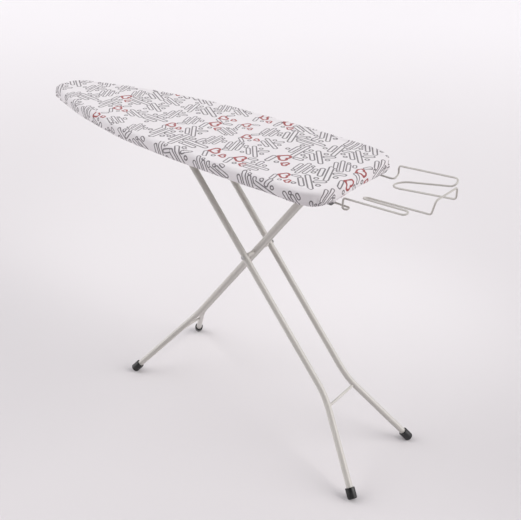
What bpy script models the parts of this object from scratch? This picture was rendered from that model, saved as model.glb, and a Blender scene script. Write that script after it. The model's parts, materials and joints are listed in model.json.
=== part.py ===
"""Folding ironing board: a padded steel deck on crossed tube legs, with a wire iron rest.

Units are metres and +Z is up. +X runs from the nose to the heel, +Y to the far side. The origin
is on the floor, under the centre of the whole object. The model stands open, at full height.
"""

import math

import bmesh
import bpy
from mathutils import Quaternion, Vector
from mathutils.geometry import interpolate_bezier

# --- Board ------------------------------------------------------------------------------------
GAP = 0.0003  # air between pieces that touch
BOARD_TOP = 0.8805
COVER_THICK = 0.001
PAD_THICK = 0.005
DECK_THICK = 0.001
DECK_INSET = 0.003
RIM_HEIGHT = 0.019
RIM_DEPTH = 0.014
RIM_WALL = 0.0012
STRIP_THICK = 0.003
STRIP_WIDTH = 0.024
STRIP_PLACES = {"nose": -0.52, "rail_front": -0.425, "rail_rear": -0.078, "middle": 0.12,
                "hinge": 0.343, "heel": 0.42}
VENT_HALF_LENGTH, VENT_HALF_WIDTH = 0.027, 0.015
VENT_PITCH, VENT_ROW_STEP = 0.076, 0.0395

# Half of the board's outline, nose to heel: (x, half width).
HALF_OUTLINE = [
    (-0.6890, 0.0),
    (-0.6720, 0.0480),
    (-0.6310, 0.0715),
    (-0.5620, 0.0965),
    (-0.4590, 0.1295),
    (-0.3430, 0.1560),
    (-0.2050, 0.1795),
    (-0.0550, 0.1895),
    (0.1170, 0.1922),
    (0.2900, 0.1898),
    (0.4000, 0.1820),
    (0.4455, 0.1585),
    (0.4612, 0.1080),
    (0.4630, 0.0),
]
OUTLINE_POINTS = 60

# The cover from its top edge to its hem: (inset from the outline, height below the top).
SKIRT = [(0.0020, 0.0), (0.0003, 0.0015), (0.0, 0.004), (0.0003, 0.027), (0.0040, 0.034), (0.0200, 0.037)]

# --- Legs -------------------------------------------------------------------------------------
TUBE_RADIUS = 0.0095
TUBE_WALL = 0.001
BAR_RADIUS = 0.004
WIDE_FLOOR_X = 0.6325
WIDE_SLOPE = math.radians(48.26)
TWIN_FLOOR_X = -0.2637
TWIN_SLOPE = math.radians(53.85)
WIDE_STRAIGHT_Y, WIDE_FOOT_Y, WIDE_BEND_Z = 0.056, 0.1625, 0.209
TWIN_STRAIGHT_Y, TWIN_FOOT_Y, TWIN_BEND_Z = 0.0105, 0.1643, 0.231
WIDE_BEND_RADIUS, TWIN_BEND_RADIUS = 0.24, 0.16
WIDE_BAR_Z, TWIN_BAR_Z = 0.187, 0.153
FOOT_RADIUS = 0.0138
FOOT_LENGTH = 0.031
FOOT_BASE = 0.008
FOOT_END_Z = 0.0074  # height of the cup's end centre, so that its tilted rim is cut flat at the floor

# --- Hinges, slide rod and rails --------------------------------------------------------------
PIN_RADIUS = 0.004
HEEL_PIN_Z = 0.8305
SLIDE_ROD_Z = 0.854
PAST_PIN = 0.012
PAST_ROD = 0.010
BRACKET_HALF_X = 0.025
BRACKET_HALF_Y = 0.030
BRACKET_DROP = 0.0135
RAIL_FRONT_X, RAIL_REAR_X = -0.450, -0.066
RAIL_INNER_Y, RAIL_OUTER_Y = 0.072, 0.092
RAIL_BOTTOM_Z = 0.839
GLIDE_RADIUS = 0.0078
SHEET = 0.0016

# --- Lock lever -------------------------------------------------------------------------------
LEVER_PIN = Vector((-0.078, 0.0, 0.8395))
LEVER_Y = 0.0345
LEVER_THICK = 0.003
LEVER_BOTTOM_Z, LEVER_ROOT_Z, LEVER_TIP_Z = 0.8325, 0.8385, 0.8452
LEVER_TAIL_X, LEVER_END_X = -0.047, -0.395
LEVER_PIN_RADIUS = 0.003
TOOTH_FIRST_X, TOOTH_PITCH, TOOTH_COUNT = -0.150, 0.022, 10
GRIP_BAR = Vector((-0.385, 0.128, 0.8275))
GRIP_RADIUS, GRIP_START_Y, GRIP_END_Y = 0.009, 0.092, 0.136
SPRING_RADIUS, SPRING_WIRE, SPRING_TURNS = 0.004, 0.0007, 4

# --- Iron rest --------------------------------------------------------------------------------
WIRE_RADIUS = 0.0025
REST_CAP_RADIUS = 0.0045
SOCKET_X = (0.388, 0.430)
SOCKET_HALF_Y = 0.009
SOCKET_DROP = 0.007
# The wire's corners from its far end to its near end: (x, y, z, corner radius).
REST_WIRE = [
    (0.279, 0.113, 0.8400, 0.0),
    (0.492, 0.113, 0.8400, 0.009),
    (0.489, 0.139, 0.8455, 0.009),
    (0.487, 0.139, 0.8680, 0.006),
    (0.653, 0.139, 0.8805, 0.0125),
    (0.656, 0.113, 0.8690, 0.0125),
    (0.509, 0.113, 0.8395, 0.026),
    (0.512, 0.057, 0.8435, 0.026),
    (0.687, 0.057, 0.8640, 0.008),
    (0.685, 0.057, 0.8940, 0.007),
    (0.682, -0.0415, 0.8940, 0.007),
    (0.6745, -0.0415, 0.8560, 0.008),
    (0.503, -0.0415, 0.8465, 0.0098),
    (0.505, -0.0620, 0.8513, 0.0098),
    (0.631, -0.0620, 0.8570, 0.0098),
    (0.631, -0.0830, 0.8550, 0.0098),
    (0.4655, -0.0830, 0.8470, 0.005),
    (0.4655, -0.0845, 0.8200, 0.005),
    (0.4785, -0.0845, 0.8200, 0.007),
    (0.4785, -0.0700, 0.8208, 0.007),
    (0.279, -0.0700, 0.8208, 0.0),
]

# --- Worked out from the above ----------------------------------------------------------------
PAD_TOP = BOARD_TOP - COVER_THICK - GAP
DECK_TOP = PAD_TOP - PAD_THICK - GAP
UNDER_DECK = DECK_TOP - DECK_THICK - GAP
UNDER_STRIP = UNDER_DECK - STRIP_THICK - GAP
BORE_RADIUS = PIN_RADIUS + GAP
WIDE_UP = Vector((-math.cos(WIDE_SLOPE), 0.0, math.sin(WIDE_SLOPE)))
TWIN_UP = Vector((math.cos(TWIN_SLOPE), 0.0, math.sin(TWIN_SLOPE)))


def on_wide(height, y=0.0):
    """The point of the wide frame's plane at this height and y."""
    return Vector((WIDE_FLOOR_X, y, 0.0)) + WIDE_UP * (height / WIDE_UP.z)


def on_twin(height, y=0.0):
    """The point of the twin leg's plane at this height and y."""
    return Vector((TWIN_FLOOR_X, y, 0.0)) + TWIN_UP * (height / TWIN_UP.z)


CROSSING_Z = (WIDE_FLOOR_X - TWIN_FLOOR_X) / (1 / math.tan(WIDE_SLOPE) + 1 / math.tan(TWIN_SLOPE))
CROSSING = on_twin(CROSSING_Z)
HEEL_PIN = on_twin(HEEL_PIN_Z)
SLIDE_ROD = on_wide(SLIDE_ROD_Z)
SIDES = {"near": -1, "far": 1}


# --- Scene and materials ----------------------------------------------------------------------
for leftover in list(bpy.data.objects):
    bpy.data.objects.remove(leftover)

pieces = bpy.data.collections.new("ironing_board")
cutters = bpy.data.collections.new("cutters")
bpy.context.scene.collection.children.link(pieces)
bpy.context.scene.collection.children.link(cutters)


def finish(name, colour, roughness, metallic=0.0):
    made = bpy.data.materials.new(name)
    made.use_nodes = True
    shader = made.node_tree.nodes["Principled BSDF"]
    shader.inputs["Base Color"].default_value = (*colour, 1.0)
    shader.inputs["Roughness"].default_value = roughness
    shader.inputs["Metallic"].default_value = metallic
    return made


COTTON = finish("printed_cotton", (0.86, 0.84, 0.86), 0.9)
FELT = finish("felt", (0.75, 0.74, 0.70), 0.95)
PAINT = finish("cream_paint", (0.66, 0.64, 0.58), 0.42)
WIRE_PAINT = finish("cream_wire", (0.72, 0.70, 0.65), 0.4)
ZINC = finish("zinc_steel", (0.62, 0.62, 0.64), 0.35, 1.0)
RUBBER = finish("black_rubber", (0.018, 0.018, 0.02), 0.6)
PLASTIC = finish("grey_plastic", (0.20, 0.20, 0.21), 0.5)


def joint_empty(name, location):
    empty = bpy.data.objects.new(name, None)
    empty.location = location
    empty.empty_display_size = 0.03
    pieces.objects.link(empty)
    return empty


BOARD = joint_empty("board_frame", (0.0, 0.0, 0.0))
TWIN = joint_empty("twin_leg_axis", HEEL_PIN)
WIDE = joint_empty("wide_frame_axis", CROSSING)
LEVER = joint_empty("lock_lever_axis", LEVER_PIN)
REST = joint_empty("iron_rest_slide", REST_WIRE[0][:3])


# --- Helpers ----------------------------------------------------------------------------------
def place(name, data, look, rides_on, location=(0.0, 0.0, 0.0), rotation=None):
    """A visible piece at a world location, parented to its joint's empty."""
    piece = bpy.data.objects.new(name, data)
    pieces.objects.link(piece)
    data.materials.clear()
    data.materials.append(look)
    piece.parent = rides_on
    piece.location = Vector(location) - rides_on.location
    if rotation is not None:
        piece.rotation_mode = "QUATERNION"
        piece.rotation_quaternion = rotation
    return piece


def cutter(name, data, location=(0.0, 0.0, 0.0), rotation=None):
    tool = bpy.data.objects.new(name, data)
    cutters.objects.link(tool)
    tool.location = location
    if rotation is not None:
        tool.rotation_mode = "QUATERNION"
        tool.rotation_quaternion = rotation
    tool.hide_render = True
    tool.display_type = "WIRE"
    return tool


def cut(piece, tool):
    boolean = piece.modifiers.new(tool.name, "BOOLEAN")
    boolean.object = tool
    boolean.solver = "EXACT"


def smooth(mesh):
    mesh.shade_smooth()
    mesh.set_sharp_from_angle(angle=math.radians(40))
    return mesh


def turn_to(direction):
    return Vector((0.0, 0.0, 1.0)).rotation_difference(Vector(direction))


def cylinder_mesh(name, radius, length, segments=20):
    """A cylinder along local Z, centred on its origin."""
    mesh = bpy.data.meshes.new(name)
    shape = bmesh.new()
    bmesh.ops.create_cone(shape, cap_ends=True, segments=segments, radius1=radius, radius2=radius,
                          depth=length)
    shape.to_mesh(mesh)
    shape.free()
    return smooth(mesh)


def bore(piece, radius, centre, direction, length=0.3):
    """Drills a straight hole through a piece."""
    name = piece.name + "_bore"
    cut(piece, cutter(name, cylinder_mesh(name, radius, length, 16), centre, turn_to(direction)))


def box_mesh(name, size):
    mesh = bpy.data.meshes.new(name)
    shape = bmesh.new()
    bmesh.ops.create_cube(shape, size=1.0)
    bmesh.ops.scale(shape, vec=size, verts=shape.verts)
    shape.to_mesh(mesh)
    shape.free()
    return mesh


def block(name, low, high, look, rides_on, rounding=0.0):
    low, high = Vector(low), Vector(high)
    piece = place(name, box_mesh(name, high - low), look, rides_on, (low + high) / 2)
    if rounding:
        bevel = piece.modifiers.new("round_edges", "BEVEL")
        bevel.width = rounding
        bevel.segments = 2
    return piece


def turned(name, profile, look, rides_on, location, direction=(0.0, 0.0, 1.0), closed=False, steps=16):
    """A profile of (radius, height) turned about local Z, which points along direction."""
    mesh = bpy.data.meshes.new(name)
    shape = bmesh.new()
    corners = [shape.verts.new((radius, 0.0, height)) for radius, height in profile]
    for first, second in zip(corners, corners[1:]):
        shape.edges.new((first, second))
    if closed:
        shape.edges.new((corners[-1], corners[0]))
    shape.to_mesh(mesh)
    shape.free()
    piece = place(name, mesh, look, rides_on, location, turn_to(direction))
    screw = piece.modifiers.new("turn", "SCREW")
    screw.steps = steps
    screw.render_steps = steps
    screw.use_merge_vertices = True
    screw.merge_threshold = 0.00001
    screw.use_smooth_shade = True
    return piece


def sleeve(name, inner, outer, start, end, look, rides_on):
    """A plain bush from start to end."""
    start, end = Vector(start), Vector(end)
    length = (end - start).length
    profile = [(inner, 0.0), (inner, length), (outer, length), (outer, 0.0)]
    return turned(name, profile, look, rides_on, start, end - start, closed=True)


def headed_pin(name, radius, head_radius, head, start, end, look, rides_on):
    """A pin from start to end, with a flat head before start."""
    start, end = Vector(start), Vector(end)
    length = (end - start).length
    profile = [(0.0, length), (radius - 0.0006, length), (radius, length - 0.0006), (radius, 0.0),
               (head_radius, 0.0), (head_radius, -0.6 * head), (0.75 * head_radius, -head), (0.0, -head)]
    return turned(name, profile, look, rides_on, start, end - start)


def cup(name, bore_radius, outer, length, base, look, rides_on, end, direction, rounding=0.003, steps=20):
    """A cup whose closed end is at end, and whose mouth faces along direction."""
    profile = [(0.0, base), (bore_radius, base), (bore_radius, length), (outer - 0.0008, length),
               (outer, length - 0.0008), (outer, rounding), (outer - 0.3 * rounding, 0.3 * rounding),
               (outer - rounding, 0.0), (0.0, 0.0)]
    return turned(name, profile, look, rides_on, end, direction, steps=steps)


def path_curve(name, points, radius, resolution, capped=True):
    curve = bpy.data.curves.new(name, "CURVE")
    curve.dimensions = "3D"
    curve.bevel_depth = radius
    curve.bevel_resolution = resolution
    curve.use_fill_caps = capped
    spline = curve.splines.new("POLY")
    spline.points.add(len(points) - 1)
    for slot, point in zip(spline.points, points):
        slot.co = (*point, 1.0)
    return curve


def mesh_of_curve(name, curve):
    """The curve's surface as a welded mesh, which a Boolean can cut or use."""
    holder = bpy.data.objects.new(name + "_curve", curve)
    pieces.objects.link(holder)
    bpy.context.view_layer.update()
    seen = holder.evaluated_get(bpy.context.evaluated_depsgraph_get())
    mesh = bpy.data.meshes.new_from_object(seen)
    bpy.data.objects.remove(holder)
    shape = bmesh.new()
    shape.from_mesh(mesh)
    bmesh.ops.remove_doubles(shape, verts=shape.verts, dist=0.00001)
    bmesh.ops.recalc_face_normals(shape, faces=shape.faces)
    shape.to_mesh(mesh)
    shape.free()
    mesh.name = name
    return mesh


def flat_plate(name, loops, thickness, look, rides_on, location, rotation=None):
    """Flat outlines, the first the edge and the rest holes, given a thickness along local Z."""
    curve = bpy.data.curves.new(name, "CURVE")
    curve.dimensions = "2D"
    curve.fill_mode = "BOTH"
    curve.extrude = thickness / 2
    for loop in loops:
        spline = curve.splines.new("POLY")
        spline.points.add(len(loop) - 1)
        for slot, (x, y) in zip(spline.points, loop):
            slot.co = (x, y, 0.0, 1.0)
        spline.use_cyclic_u = True
    return place(name, curve, look, rides_on, location, rotation)


def loft(name, rings, look, rides_on, cap_first=False, closed=False):
    """Skins a row of equal-length rings. The last ring joins the first where closed is set."""
    mesh = bpy.data.meshes.new(name)
    shape = bmesh.new()
    rows = [[shape.verts.new(point) for point in ring] for ring in rings]
    pairs = list(zip(rows, rows[1:]))
    if closed:
        pairs.append((rows[-1], rows[0]))
    for above, below in pairs:
        for i in range(len(above)):
            j = (i + 1) % len(above)
            shape.faces.new((above[i], above[j], below[j], below[i]))
    if cap_first:
        shape.faces.new(rows[0])
    bmesh.ops.recalc_face_normals(shape, faces=shape.faces)
    shape.to_mesh(mesh)
    shape.free()
    return place(name, smooth(mesh), look, rides_on)


def rounded_path(corners, steps=4):
    """The corners (x, y, z, radius) joined by straight runs, with an arc at each corner."""
    points = [Vector(corner[:3]) for corner in corners]
    path = [points[0]]
    for before, here, after, corner in zip(points, points[1:], points[2:], corners[1:]):
        back = (before - here).normalized()
        onward = (after - here).normalized()
        turn = math.pi - back.angle(onward)
        radius = corner[3]
        centre = here + (back + onward).normalized() * radius / math.cos(turn / 2)
        arm = here + back * radius * math.tan(turn / 2) - centre
        axis = back.cross(arm).normalized()
        path += [centre + Quaternion(axis, turn * k / steps) @ arm for k in range(steps + 1)]
    path.append(points[-1])
    return path


# --- The board's outline ----------------------------------------------------------------------
def smooth_loop(corners, count):
    """Evenly spaced points on a smooth closed curve through the corners."""
    corners = [Vector(corner) for corner in corners]
    fine = []
    for i, start in enumerate(corners):
        before = corners[i - 1]
        end = corners[(i + 1) % len(corners)]
        after = corners[(i + 2) % len(corners)]
        chord = (end - start).length
        leaving = (end - before) * chord / (chord + (start - before).length)
        arriving = (after - start) * chord / (chord + (after - end).length)
        fine += interpolate_bezier(start, start + leaving / 3, end - arriving / 3, end, 13)[:-1]
    fine.append(fine[0])
    walked = [0.0]
    for first, second in zip(fine, fine[1:]):
        walked.append(walked[-1] + (second - first).length)
    loop = []
    place_in = 0
    for k in range(count):
        target = walked[-1] * k / count
        while walked[place_in + 1] < target:
            place_in += 1
        share = (target - walked[place_in]) / (walked[place_in + 1] - walked[place_in])
        loop.append(fine[place_in].lerp(fine[place_in + 1], share))
    return loop


MIRRORED_HALF = [(x, -y) for x, y in reversed(HALF_OUTLINE[1:-1])]
OUTLINE = smooth_loop(HALF_OUTLINE + MIRRORED_HALF, OUTLINE_POINTS)


def inset_outline(distance):
    """The outline moved inwards by this distance. It runs from the nose along the far side."""
    moved = []
    for i, point in enumerate(OUTLINE):
        along = (OUTLINE[(i + 1) % OUTLINE_POINTS] - OUTLINE[i - 1]).normalized()
        moved.append(point + Vector((along.y, -along.x)) * distance)
    return moved


def ring(distance, height):
    return [(point.x, point.y, height) for point in inset_outline(distance)]


def half_width(x, distance=0.0):
    """Half of the board's width at this x, inside its inset outline."""
    far_side = [point for point in inset_outline(distance) if point.y >= 0.0]
    far_side.sort(key=lambda point: point.x)
    for first, second in zip(far_side, far_side[1:]):
        if first.x <= x <= second.x:
            return first.lerp(second, (x - first.x) / (second.x - first.x)).y
    return 0.0


# --- Board ------------------------------------------------------------------------------------
def vent_holes():
    """Diamond-shaped vents in staggered rows, where they leave a border round the deck's edge."""
    corners = [(VENT_HALF_LENGTH, 0.0), (0.0, VENT_HALF_WIDTH),
               (-VENT_HALF_LENGTH, 0.0), (0.0, -VENT_HALF_WIDTH)]
    holes = []
    for row in range(-4, 5):
        y = row * VENT_ROW_STEP
        for column in range(-9, 7):
            x = (column + 0.5 * (row % 2)) * VENT_PITCH
            reach = min(half_width(x + end * VENT_HALF_LENGTH, DECK_INSET) for end in (-1, 0, 1))
            if abs(y) + VENT_HALF_WIDTH + 0.012 < reach:
                holes.append([(x + along, y + across) for along, across in corners])
    return holes


def make_board_skin():
    skirt = [ring(inset, BOARD_TOP - drop) for inset, drop in SKIRT]
    cover = loft("cover", skirt, COTTON, BOARD, cap_first=True)
    thickness = cover.modifiers.new("thickness", "SOLIDIFY")
    thickness.thickness = COVER_THICK
    thickness.offset = -1.0
    pad_loop = inset_outline(COVER_THICK + 0.002)
    flat_plate("felt_pad", [pad_loop], PAD_THICK, FELT, BOARD, (0.0, 0.0, PAD_TOP - PAD_THICK / 2))


def make_deck():
    loops = [inset_outline(DECK_INSET), *vent_holes()]
    flat_plate("vented_deck", loops, DECK_THICK, PAINT, BOARD, (0.0, 0.0, DECK_TOP - DECK_THICK / 2))
    top = UNDER_DECK
    bottom = UNDER_DECK - RIM_HEIGHT
    inner = DECK_INSET + RIM_DEPTH
    wall = DECK_INSET + RIM_WALL
    section = [(DECK_INSET, top), (DECK_INSET, bottom), (inner, bottom), (inner, bottom + RIM_WALL),
               (wall, bottom + RIM_WALL), (wall, top - RIM_WALL), (inner, top - RIM_WALL), (inner, top)]
    loft("rim_channel", [ring(*corner) for corner in section], PAINT, BOARD, closed=True)
    for where, x in STRIP_PLACES.items():
        reach = min(half_width(x + side * STRIP_WIDTH / 2, inner + 0.0005) for side in (-1, 1))
        low = (x - STRIP_WIDTH / 2, -reach, UNDER_DECK - STRIP_THICK)
        high = (x + STRIP_WIDTH / 2, reach, UNDER_DECK)
        block(f"cross_strip_{where}", low, high, PAINT, BOARD)


def make_rails():
    """A C-rail on each side, open towards the middle, with a bumper where the slide rod stops."""
    upright = Quaternion((0.5, 0.5, 0.5, 0.5))  # local X to +Y, local Y to +Z, local Z to +X
    middle = (RAIL_FRONT_X + RAIL_REAR_X) / 2
    for side, sign in SIDES.items():
        section = [(RAIL_INNER_Y, UNDER_STRIP), (RAIL_OUTER_Y, UNDER_STRIP),
                   (RAIL_OUTER_Y, RAIL_BOTTOM_Z), (RAIL_INNER_Y, RAIL_BOTTOM_Z),
                   (RAIL_INNER_Y, RAIL_BOTTOM_Z + SHEET), (RAIL_OUTER_Y - SHEET, RAIL_BOTTOM_Z + SHEET),
                   (RAIL_OUTER_Y - SHEET, UNDER_STRIP - SHEET), (RAIL_INNER_Y, UNDER_STRIP - SHEET)]
        loop = [(sign * y, z) for y, z in section]
        length = RAIL_REAR_X - RAIL_FRONT_X
        flat_plate(f"slide_rail_{side}", [loop], length, ZINC, BOARD, (middle, 0.0, 0.0), upright)
        inner, outer = sorted((sign * (RAIL_INNER_Y + 0.001), sign * (RAIL_OUTER_Y - SHEET - GAP)))
        low = (SLIDE_ROD.x + GLIDE_RADIUS + GAP, inner, RAIL_BOTTOM_Z + SHEET + GAP)
        high = (SLIDE_ROD.x + GLIDE_RADIUS + 0.014, outer, UNDER_STRIP - SHEET - GAP)
        block(f"rail_bumper_{side}", low, high, RUBBER, BOARD, rounding=0.001)


def make_heel_hinge():
    """The bracket that the twin leg turns in, with its pin, clip and spacers."""
    low = (HEEL_PIN.x - BRACKET_HALF_X, -BRACKET_HALF_Y, HEEL_PIN.z - BRACKET_DROP)
    high = (HEEL_PIN.x + BRACKET_HALF_X, BRACKET_HALF_Y, UNDER_STRIP)
    bracket = block("heel_bracket", low, high, ZINC, BOARD)
    inside = BRACKET_HALF_Y - SHEET
    room = (4 * BRACKET_HALF_X, 2 * inside, 0.1)
    cut(bracket, cutter("heel_bracket_room", box_mesh("heel_bracket_room", room),
                        (HEEL_PIN.x, 0.0, UNDER_STRIP - SHEET - 0.05)))
    bore(bracket, BORE_RADIUS, HEEL_PIN, (0.0, 1.0, 0.0))
    pin_start = HEEL_PIN + Vector((0.0, -BRACKET_HALF_Y - GAP, 0.0))
    pin_end = HEEL_PIN + Vector((0.0, BRACKET_HALF_Y + 0.0045, 0.0))
    headed_pin("heel_pin", PIN_RADIUS, 0.007, 0.003, pin_start, pin_end, ZINC, BOARD)
    clip_start = HEEL_PIN + Vector((0.0, BRACKET_HALF_Y + GAP, 0.0))
    clip_end = HEEL_PIN + Vector((0.0, BRACKET_HALF_Y + 0.0025, 0.0))
    sleeve("heel_pin_clip", BORE_RADIUS, 0.0075, clip_start, clip_end, ZINC, BOARD)
    for side, sign in SIDES.items():
        start = HEEL_PIN + Vector((0.0, sign * (TWIN_STRAIGHT_Y + TUBE_RADIUS + GAP), 0.0))
        end = HEEL_PIN + Vector((0.0, sign * (inside - GAP), 0.0))
        sleeve(f"heel_spacer_{side}", BORE_RADIUS, 0.0065, start, end, PLASTIC, BOARD)


# --- Lock lever -------------------------------------------------------------------------------
def make_lever_bracket():
    top = UNDER_STRIP
    low = (LEVER_PIN.x - 0.0125, LEVER_Y - 0.0100, LEVER_PIN.z - 0.0095)
    high = (LEVER_TAIL_X + 0.002, LEVER_Y + 0.0100, top)
    bracket = block("lever_bracket", low, high, ZINC, BOARD)
    room = (0.12, 2 * (0.0100 - SHEET), 0.1)
    cut(bracket, cutter("lever_bracket_room", box_mesh("lever_bracket_room", room),
                        (LEVER_PIN.x, LEVER_Y, top - SHEET - 0.05)))
    centre = Vector((LEVER_PIN.x, LEVER_Y, LEVER_PIN.z))
    bore(bracket, LEVER_PIN_RADIUS + GAP, centre, (0.0, 1.0, 0.0), 0.06)
    start = centre + Vector((0.0, -0.0100 - GAP, 0.0))
    end = centre + Vector((0.0, 0.0130, 0.0))
    headed_pin("lever_pin", LEVER_PIN_RADIUS, 0.0048, 0.0018, start, end, ZINC, BOARD)
    spring_low = LEVER_PIN.z + 0.0062 + GAP + SPRING_WIRE
    spring_high = top - SHEET - GAP - SPRING_WIRE
    turns = [math.tau * k / 8 for k in range(8 * SPRING_TURNS + 1)]
    rise = (spring_high - spring_low) / turns[-1]
    helix = [(LEVER_TAIL_X - 0.005 + SPRING_RADIUS * math.cos(a), LEVER_Y + SPRING_RADIUS * math.sin(a),
              spring_low + rise * a) for a in turns]
    place("lever_spring", path_curve("lever_spring", helix, SPRING_WIRE, 2), ZINC, BOARD)


def make_lever():
    """A flat bar with teeth that hold the slide rod, and the grip that draws it down."""
    upright = Quaternion((math.sqrt(0.5), math.sqrt(0.5), 0.0, 0.0))  # local Y to +Z, local Z to -Y
    bottom, root, tip = LEVER_BOTTOM_Z, LEVER_ROOT_Z, LEVER_TIP_Z
    edge = [(LEVER_TAIL_X, bottom), (LEVER_TAIL_X, LEVER_PIN.z + 0.0062), (TOOTH_FIRST_X + 0.012, tip)]
    for tooth in range(TOOTH_COUNT):
        x = TOOTH_FIRST_X - tooth * TOOTH_PITCH
        edge += [(x, tip), (x - 0.0005, root), (x - 0.0125, root), (x - 0.0180, tip)]
    edge += [(LEVER_END_X, root), (LEVER_END_X, GRIP_BAR.z - 0.006),
             (LEVER_END_X + 0.020, GRIP_BAR.z - 0.006), (LEVER_END_X + 0.030, bottom)]
    reach = LEVER_PIN_RADIUS + GAP
    turns = [math.tau * k / 16 for k in range(16)]
    hole = [(LEVER_PIN.x + reach * math.cos(a), LEVER_PIN.z + reach * math.sin(a)) for a in turns]
    flat_plate("lock_lever", [edge, hole], LEVER_THICK, ZINC, LEVER, (0.0, LEVER_Y, 0.0), upright)
    start = Vector((GRIP_BAR.x, LEVER_Y + LEVER_THICK / 2 + GAP, GRIP_BAR.z))
    length = GRIP_BAR.y - start.y
    middle = (start + GRIP_BAR) / 2
    mesh = cylinder_mesh("lever_grip_bar", BAR_RADIUS, length)
    place("lever_grip_bar", mesh, ZINC, LEVER, middle, turn_to((0.0, 1.0, 0.0)))
    end = Vector((GRIP_BAR.x, GRIP_END_Y, GRIP_BAR.z))
    cup("lever_grip", BORE_RADIUS, GRIP_RADIUS, GRIP_END_Y - GRIP_START_Y, GRIP_END_Y - GRIP_BAR.y - GAP,
        PLASTIC, LEVER, end, (0.0, -1.0, 0.0))


# --- Iron rest --------------------------------------------------------------------------------
def make_rest():
    wire = path_curve("iron_rest_wire", rounded_path(REST_WIRE), WIRE_RADIUS, 2)
    place("iron_rest_wire", wire, WIRE_PAINT, REST)
    for side, corner in (("far", REST_WIRE[0]), ("near", REST_WIRE[-1])):
        inner_end = Vector(corner[:3])
        cup(f"rest_end_cap_{side}", WIRE_RADIUS + GAP, REST_CAP_RADIUS, 0.010, 0.003, PLASTIC, REST,
            inner_end - Vector((0.003 + GAP, 0.0, 0.0)), (1.0, 0.0, 0.0), rounding=0.0015, steps=16)
        low = (SOCKET_X[0], inner_end.y - SOCKET_HALF_Y, inner_end.z - SOCKET_DROP)
        high = (SOCKET_X[1], inner_end.y + SOCKET_HALF_Y, UNDER_STRIP)
        socket = block(f"rest_socket_{side}", low, high, PLASTIC, BOARD, rounding=0.0015)
        middle = Vector((sum(SOCKET_X) / 2, inner_end.y, inner_end.z))
        bore(socket, WIRE_RADIUS + 0.0005, middle, (1.0, 0.0, 0.0), 0.1)


# --- Legs -------------------------------------------------------------------------------------
def leg_path(on_plane, foot_z, foot_y, bend_z, straight_y, top, bend_radius):
    """The centre line of one leg tube, up from its foot, round its bend to its top end."""
    foot = on_plane(foot_z, foot_y + (straight_y - foot_y) * foot_z / bend_z)
    bend = on_plane(bend_z, straight_y)
    corners = [(*foot, 0.0), (*bend, bend_radius), (*top, 0.0)]
    return rounded_path(corners, steps=8)


def flip(points, sign):
    return [Vector((point.x, sign * point.y, point.z)) for point in points]


def leg_tube(name, path, rides_on, bores):
    """A hollow tube open at both ends, drilled across for its pins."""
    mesh = mesh_of_curve(name, path_curve(name, path, TUBE_RADIUS, 4, capped=False))
    tube = place(name, smooth(mesh), PAINT, rides_on, (0.0, 0.0, 0.0))
    wall = tube.modifiers.new("wall", "SOLIDIFY")
    wall.thickness = TUBE_WALL
    wall.offset = -1.0
    for index, (centre, reach) in enumerate(bores):
        tool = f"{name}_bore_{index}"
        drill = cylinder_mesh(tool, BORE_RADIUS, reach, 16)
        cut(tube, cutter(tool, drill, centre, turn_to((0.0, 1.0, 0.0))))


def welded_bar(name, middle, half_length, tube_paths, rides_on):
    """A thin bar across a frame, its ends shaped to the tubes it is welded to."""
    bar = place(name, cylinder_mesh(name, BAR_RADIUS, 2 * half_length, 16), PAINT, rides_on, middle,
                turn_to((0.0, 1.0, 0.0)))
    for side, path in tube_paths.items():
        tool = f"{name}_saddle_{side}"
        cut(bar, cutter(tool, mesh_of_curve(tool, path_curve(tool, path, TUBE_RADIUS + GAP, 4))))


def tube_plug(name, path, rides_on):
    """The plug pressed into a tube's top end, its head just past the tube's edge."""
    up = (path[-1] - path[-2]).normalized()
    shank, head = 0.005, 0.0018
    inner = TUBE_RADIUS - TUBE_WALL - GAP
    profile = [(0.0, head), (0.6 * TUBE_RADIUS, head), (TUBE_RADIUS, 0.3 * head), (TUBE_RADIUS, 0.0),
               (inner, 0.0), (inner, -shank), (0.0, -shank)]
    turned(name, profile, PLASTIC, rides_on, path[-1] + up * GAP, up)


def foot_cup(name, path, rides_on):
    """A rubber cup on a tube's foot, its tilted rim cut flat where it stands on the floor."""
    direction = (path[1] - path[0]).normalized()
    end = path[0] - direction * (FOOT_BASE + GAP)
    foot = cup(name, TUBE_RADIUS + GAP, FOOT_RADIUS, FOOT_LENGTH, FOOT_BASE, RUBBER, rides_on, end,
               direction, rounding=0.0035)
    tool = name + "_floor"
    cut(foot, cutter(tool, box_mesh(tool, (0.1, 0.1, 0.05)), (end.x, end.y, -0.025)))


def foot_start(up, splay):
    """The height of a tube's lower end, so that its cup's end centre is at FOOT_END_Z."""
    return FOOT_END_Z + (FOOT_BASE + GAP) * up.z * math.cos(splay)


def make_frame(title, on_plane, up, floor, top, bend_radius, bar, bores, rides_on):
    """One leg frame: two tubes, their feet and plugs, and the thin bar between them."""
    straight_y, foot_y, bend_z = floor
    splay = math.atan2(foot_y - straight_y, bend_z / up.z)
    paths = {}
    for side, sign in SIDES.items():
        path = leg_path(on_plane, foot_start(up, splay), foot_y, bend_z, straight_y, top, bend_radius)
        paths[side] = flip(path, sign)
        placed = [(Vector((centre.x, sign * straight_y, centre.z)), 0.03) for centre in bores]
        leg_tube(f"{title}_tube_{side}", paths[side], rides_on, placed)
        tube_plug(f"{title}_plug_{side}", paths[side], rides_on)
        foot_cup(f"{title}_foot_{side}", paths[side], rides_on)
    name, height = bar
    half_length = straight_y + (foot_y - straight_y) * max(0.0, 1.0 - height / bend_z) + 0.004
    welded_bar(name, on_plane(height), half_length, paths, rides_on)


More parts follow.
